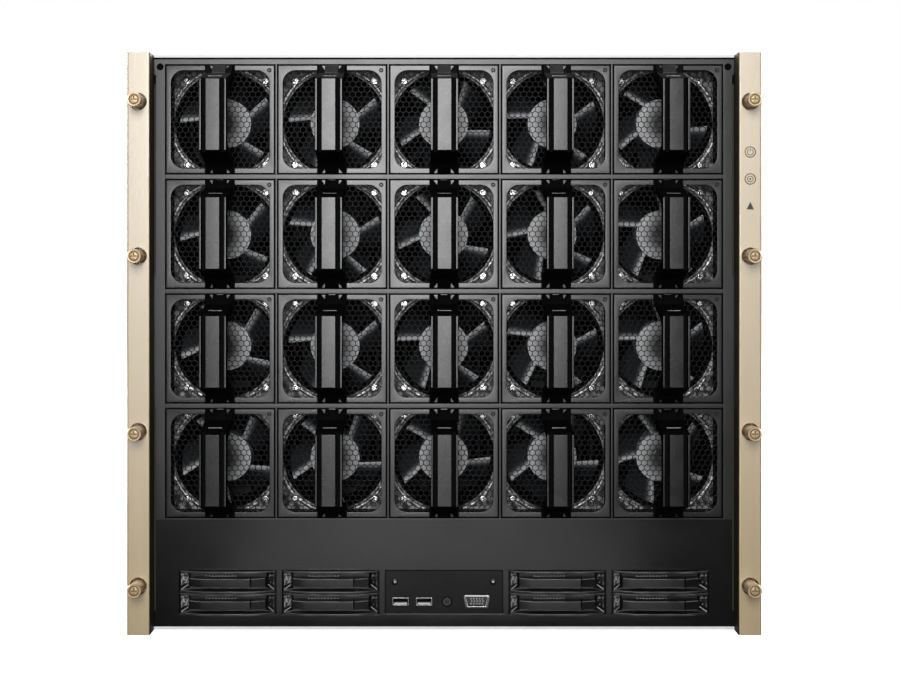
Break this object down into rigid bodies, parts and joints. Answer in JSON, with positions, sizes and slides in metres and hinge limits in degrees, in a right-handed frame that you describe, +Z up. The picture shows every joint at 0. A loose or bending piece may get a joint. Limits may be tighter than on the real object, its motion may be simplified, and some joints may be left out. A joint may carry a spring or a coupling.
{
  "type": "gpu server",
  "caption": "Rack-mounted server with a wall of hot-swap fan modules, drive carriers, rack ears with captive screws, a console plate and rear trays with power supplies.",
  "frame": {"origin": "middle of the overall width and depth, on the underside of the chassis floor", "axes": "+X to the viewer's right across the rack, +Y from the front to the rear, +Z up"},
  "size_m": [0.4826, 0.897, 0.443],
  "materials": {
    "galvanised_sheet": "satin",
    "black_sheet": "satin",
    "anodised_ear": "satin",
    "gold_screw": "satin",
    "tray_aluminium": "satin",
    "supply_metal": "satin",
    "module_black": "satin",
    "rotor_plastic": "matte",
    "carrier_plastic": "satin",
    "button_plastic": "satin"
  },
  "bodies": {
    "chassis": {"chassis_tub": "galvanised_sheet", "top_cover": "black_sheet", "front_panel": "black_sheet", "left_rack_ear": "anodised_ear", "right_rack_ear": "anodised_ear", "rack_thumbscrews": "gold_screw", "console_panel": "black_sheet", "rear_trays": "tray_aluminium", "power_supplies": "supply_metal"},
    "fan_module_r1c1": {"fan_module_r1c1": "module_black"},
    "fan_rotor_r1c1": {"fan_rotor_r1c1": "rotor_plastic"},
    "fan_module_r1c2": {"fan_module_r1c2": "module_black"},
    "fan_rotor_r1c2": {"fan_rotor_r1c2": "rotor_plastic"},
    "fan_module_r1c3": {"fan_module_r1c3": "module_black"},
    "fan_rotor_r1c3": {"fan_rotor_r1c3": "rotor_plastic"},
    "fan_module_r1c4": {"fan_module_r1c4": "module_black"},
    "fan_rotor_r1c4": {"fan_rotor_r1c4": "rotor_plastic"},
    "fan_module_r1c5": {"fan_module_r1c5": "module_black"},
    "fan_rotor_r1c5": {"fan_rotor_r1c5": "rotor_plastic"},
    "fan_module_r2c1": {"fan_module_r2c1": "module_black"},
    "fan_rotor_r2c1": {"fan_rotor_r2c1": "rotor_plastic"},
    "fan_module_r2c2": {"fan_module_r2c2": "module_black"},
    "fan_rotor_r2c2": {"fan_rotor_r2c2": "rotor_plastic"},
    "fan_module_r2c3": {"fan_module_r2c3": "module_black"},
    "fan_rotor_r2c3": {"fan_rotor_r2c3": "rotor_plastic"},
    "fan_module_r2c4": {"fan_module_r2c4": "module_black"},
    "fan_rotor_r2c4": {"fan_rotor_r2c4": "rotor_plastic"},
    "fan_module_r2c5": {"fan_module_r2c5": "module_black"},
    "fan_rotor_r2c5": {"fan_rotor_r2c5": "rotor_plastic"},
    "fan_module_r3c1": {"fan_module_r3c1": "module_black"},
    "fan_rotor_r3c1": {"fan_rotor_r3c1": "rotor_plastic"},
    "fan_module_r3c2": {"fan_module_r3c2": "module_black"},
    "fan_rotor_r3c2": {"fan_rotor_r3c2": "rotor_plastic"},
    "fan_module_r3c3": {"fan_module_r3c3": "module_black"},
    "fan_rotor_r3c3": {"fan_rotor_r3c3": "rotor_plastic"},
    "fan_module_r3c4": {"fan_module_r3c4": "module_black"},
    "fan_rotor_r3c4": {"fan_rotor_r3c4": "rotor_plastic"},
    "fan_module_r3c5": {"fan_module_r3c5": "module_black"},
    "fan_rotor_r3c5": {"fan_rotor_r3c5": "rotor_plastic"},
    "fan_module_r4c1": {"fan_module_r4c1": "module_black"},
    "fan_rotor_r4c1": {"fan_rotor_r4c1": "rotor_plastic"},
    "fan_module_r4c2": {"fan_module_r4c2": "module_black"},
    "fan_rotor_r4c2": {"fan_rotor_r4c2": "rotor_plastic"},
    "fan_module_r4c3": {"fan_module_r4c3": "module_black"},
    "fan_rotor_r4c3": {"fan_rotor_r4c3": "rotor_plastic"},
    "fan_module_r4c4": {"fan_module_r4c4": "module_black"},
    "fan_rotor_r4c4": {"fan_rotor_r4c4": "rotor_plastic"},
    "fan_module_r4c5": {"fan_module_r4c5": "module_black"},
    "fan_rotor_r4c5": {"fan_rotor_r4c5": "rotor_plastic"},
    "drive_carrier_1": {"drive_carrier_1": "carrier_plastic"},
    "drive_carrier_2": {"drive_carrier_2": "carrier_plastic"},
    "drive_carrier_3": {"drive_carrier_3": "carrier_plastic"},
    "drive_carrier_4": {"drive_carrier_4": "carrier_plastic"},
    "drive_carrier_5": {"drive_carrier_5": "carrier_plastic"},
    "drive_carrier_6": {"drive_carrier_6": "carrier_plastic"},
    "drive_carrier_7": {"drive_carrier_7": "carrier_plastic"},
    "drive_carrier_8": {"drive_carrier_8": "carrier_plastic"},
    "power_button": {"power_button": "anodised_ear"},
    "identify_button": {"identify_button": "anodised_ear"},
    "console_button": {"console_button": "button_plastic"}
  },
  "joints": [
    {"name": "slide_r1c1", "type": "slide", "parent": "chassis", "child": "fan_module_r1c1", "axis": [0, -1, 0], "range_m": [0, 0.09]},
    {"name": "spin_r1c1", "type": "hinge", "parent": "fan_module_r1c1", "child": "fan_rotor_r1c1", "pos_m": [-0.1727, -0.3715, 0.3937], "axis": [0, 1, 0], "continuous": true},
    {"name": "slide_r1c2", "type": "slide", "parent": "chassis", "child": "fan_module_r1c2", "axis": [0, -1, 0], "range_m": [0, 0.09]},
    {"name": "spin_r1c2", "type": "hinge", "parent": "fan_module_r1c2", "child": "fan_rotor_r1c2", "pos_m": [-0.08635, -0.3715, 0.3937], "axis": [0, 1, 0], "continuous": true},
    {"name": "slide_r1c3", "type": "slide", "parent": "chassis", "child": "fan_module_r1c3", "axis": [0, -1, 0], "range_m": [0, 0.09]},
    {"name": "spin_r1c3", "type": "hinge", "parent": "fan_module_r1c3", "child": "fan_rotor_r1c3", "pos_m": [0, -0.3715, 0.3937], "axis": [0, 1, 0], "continuous": true},
    {"name": "slide_r1c4", "type": "slide", "parent": "chassis", "child": "fan_module_r1c4", "axis": [0, -1, 0], "range_m": [0, 0.09]},
    {"name": "spin_r1c4", "type": "hinge", "parent": "fan_module_r1c4", "child": "fan_rotor_r1c4", "pos_m": [0.08635, -0.3715, 0.3937], "axis": [0, 1, 0], "continuous": true},
    {"name": "slide_r1c5", "type": "slide", "parent": "chassis", "child": "fan_module_r1c5", "axis": [0, -1, 0], "range_m": [0, 0.09]},
    {"name": "spin_r1c5", "type": "hinge", "parent": "fan_module_r1c5", "child": "fan_rotor_r1c5", "pos_m": [0.1727, -0.3715, 0.3937], "axis": [0, 1, 0], "continuous": true},
    {"name": "slide_r2c1", "type": "slide", "parent": "chassis", "child": "fan_module_r2c1", "axis": [0, -1, 0], "range_m": [0, 0.09]},
    {"name": "spin_r2c1", "type": "hinge", "parent": "fan_module_r2c1", "child": "fan_rotor_r2c1", "pos_m": [-0.1727, -0.3715, 0.3053], "axis": [0, 1, 0], "continuous": true},
    {"name": "slide_r2c2", "type": "slide", "parent": "chassis", "child": "fan_module_r2c2", "axis": [0, -1, 0], "range_m": [0, 0.09]},
    {"name": "spin_r2c2", "type": "hinge", "parent": "fan_module_r2c2", "child": "fan_rotor_r2c2", "pos_m": [-0.08635, -0.3715, 0.3053], "axis": [0, 1, 0], "continuous": true},
    {"name": "slide_r2c3", "type": "slide", "parent": "chassis", "child": "fan_module_r2c3", "axis": [0, -1, 0], "range_m": [0, 0.09]},
    {"name": "spin_r2c3", "type": "hinge", "parent": "fan_module_r2c3", "child": "fan_rotor_r2c3", "pos_m": [0, -0.3715, 0.3053], "axis": [0, 1, 0], "continuous": true},
    {"name": "slide_r2c4", "type": "slide", "parent": "chassis", "child": "fan_module_r2c4", "axis": [0, -1, 0], "range_m": [0, 0.09]},
    {"name": "spin_r2c4", "type": "hinge", "parent": "fan_module_r2c4", "child": "fan_rotor_r2c4", "pos_m": [0.08635, -0.3715, 0.3053], "axis": [0, 1, 0], "continuous": true},
    {"name": "slide_r2c5", "type": "slide", "parent": "chassis", "child": "fan_module_r2c5", "axis": [0, -1, 0], "range_m": [0, 0.09]},
    {"name": "spin_r2c5", "type": "hinge", "parent": "fan_module_r2c5", "child": "fan_rotor_r2c5", "pos_m": [0.1727, -0.3715, 0.3053], "axis": [0, 1, 0], "continuous": true},
    {"name": "slide_r3c1", "type": "slide", "parent": "chassis", "child": "fan_module_r3c1", "axis": [0, -1, 0], "range_m": [0, 0.09]},
    {"name": "spin_r3c1", "type": "hinge", "parent": "fan_module_r3c1", "child": "fan_rotor_r3c1", "pos_m": [-0.1727, -0.3715, 0.2169], "axis": [0, 1, 0], "continuous": true},
    {"name": "slide_r3c2", "type": "slide", "parent": "chassis", "child": "fan_module_r3c2", "axis": [0, -1, 0], "range_m": [0, 0.09]},
    {"name": "spin_r3c2", "type": "hinge", "parent": "fan_module_r3c2", "child": "fan_rotor_r3c2", "pos_m": [-0.08635, -0.3715, 0.2169], "axis": [0, 1, 0], "continuous": true},
    {"name": "slide_r3c3", "type": "slide", "parent": "chassis", "child": "fan_module_r3c3", "axis": [0, -1, 0], "range_m": [0, 0.09]},
    {"name": "spin_r3c3", "type": "hinge", "parent": "fan_module_r3c3", "child": "fan_rotor_r3c3", "pos_m": [0, -0.3715, 0.2169], "axis": [0, 1, 0], "continuous": true},
    {"name": "slide_r3c4", "type": "slide", "parent": "chassis", "child": "fan_module_r3c4", "axis": [0, -1, 0], "range_m": [0, 0.09]},
    {"name": "spin_r3c4", "type": "hinge", "parent": "fan_module_r3c4", "child": "fan_rotor_r3c4", "pos_m": [0.08635, -0.3715, 0.2169], "axis": [0, 1, 0], "continuous": true},
    {"name": "slide_r3c5", "type": "slide", "parent": "chassis", "child": "fan_module_r3c5", "axis": [0, -1, 0], "range_m": [0, 0.09]},
    {"name": "spin_r3c5", "type": "hinge", "parent": "fan_module_r3c5", "child": "fan_rotor_r3c5", "pos_m": [0.1727, -0.3715, 0.2169], "axis": [0, 1, 0], "continuous": true},
    {"name": "slide_r4c1", "type": "slide", "parent": "chassis", "child": "fan_module_r4c1", "axis": [0, -1, 0], "range_m": [0, 0.09]},
    {"name": "spin_r4c1", "type": "hinge", "parent": "fan_module_r4c1", "child": "fan_rotor_r4c1", "pos_m": [-0.1727, -0.3715, 0.1285], "axis": [0, 1, 0], "continuous": true},
    {"name": "slide_r4c2", "type": "slide", "parent": "chassis", "child": "fan_module_r4c2", "axis": [0, -1, 0], "range_m": [0, 0.09]},
    {"name": "spin_r4c2", "type": "hinge", "parent": "fan_module_r4c2", "child": "fan_rotor_r4c2", "pos_m": [-0.08635, -0.3715, 0.1285], "axis": [0, 1, 0], "continuous": true},
    {"name": "slide_r4c3", "type": "slide", "parent": "chassis", "child": "fan_module_r4c3", "axis": [0, -1, 0], "range_m": [0, 0.09]},
    {"name": "spin_r4c3", "type": "hinge", "parent": "fan_module_r4c3", "child": "fan_rotor_r4c3", "pos_m": [0, -0.3715, 0.1285], "axis": [0, 1, 0], "continuous": true},
    {"name": "slide_r4c4", "type": "slide", "parent": "chassis", "child": "fan_module_r4c4", "axis": [0, -1, 0], "range_m": [0, 0.09]},
    {"name": "spin_r4c4", "type": "hinge", "parent": "fan_module_r4c4", "child": "fan_rotor_r4c4", "pos_m": [0.08635, -0.3715, 0.1285], "axis": [0, 1, 0], "continuous": true},
    {"name": "slide_r4c5", "type": "slide", "parent": "chassis", "child": "fan_module_r4c5", "axis": [0, -1, 0], "range_m": [0, 0.09]},
    {"name": "spin_r4c5", "type": "hinge", "parent": "fan_module_r4c5", "child": "fan_rotor_r4c5", "pos_m": [0.1727, -0.3715, 0.1285], "axis": [0, 1, 0], "continuous": true},
    {"name": "slide_drive_1", "type": "slide", "parent": "chassis", "child": "drive_carrier_1", "axis": [0, -1, 0], "range_m": [0, 0.12]},
    {"name": "slide_drive_2", "type": "slide", "parent": "chassis", "child": "drive_carrier_2", "axis": [0, -1, 0], "range_m": [0, 0.12]},
    {"name": "slide_drive_3", "type": "slide", "parent": "chassis", "child": "drive_carrier_3", "axis": [0, -1, 0], "range_m": [0, 0.12]},
    {"name": "slide_drive_4", "type": "slide", "parent": "chassis", "child": "drive_carrier_4", "axis": [0, -1, 0], "range_m": [0, 0.12]},
    {"name": "slide_drive_5", "type": "slide", "parent": "chassis", "child": "drive_carrier_5", "axis": [0, -1, 0], "range_m": [0, 0.12]},
    {"name": "slide_drive_6", "type": "slide", "parent": "chassis", "child": "drive_carrier_6", "axis": [0, -1, 0], "range_m": [0, 0.12]},
    {"name": "slide_drive_7", "type": "slide", "parent": "chassis", "child": "drive_carrier_7", "axis": [0, -1, 0], "range_m": [0, 0.12]},
    {"name": "slide_drive_8", "type": "slide", "parent": "chassis", "child": "drive_carrier_8", "axis": [0, -1, 0], "range_m": [0, 0.12]},
    {"name": "press_power_button", "type": "slide", "parent": "chassis", "child": "power_button", "axis": [0, 1, 0], "range_m": [0, 0.0012], "stiffness_N_per_m": 900, "springref_m": -0.0008},
    {"name": "press_identify_button", "type": "slide", "parent": "chassis", "child": "identify_button", "axis": [0, 1, 0], "range_m": [0, 0.0012], "stiffness_N_per_m": 900, "springref_m": -0.0008},
    {"name": "press_console_button", "type": "slide", "parent": "chassis", "child": "console_button", "axis": [0, 1, 0], "range_m": [0, 0.0012], "stiffness_N_per_m": 900, "springref_m": -0.0008}
  ]
}
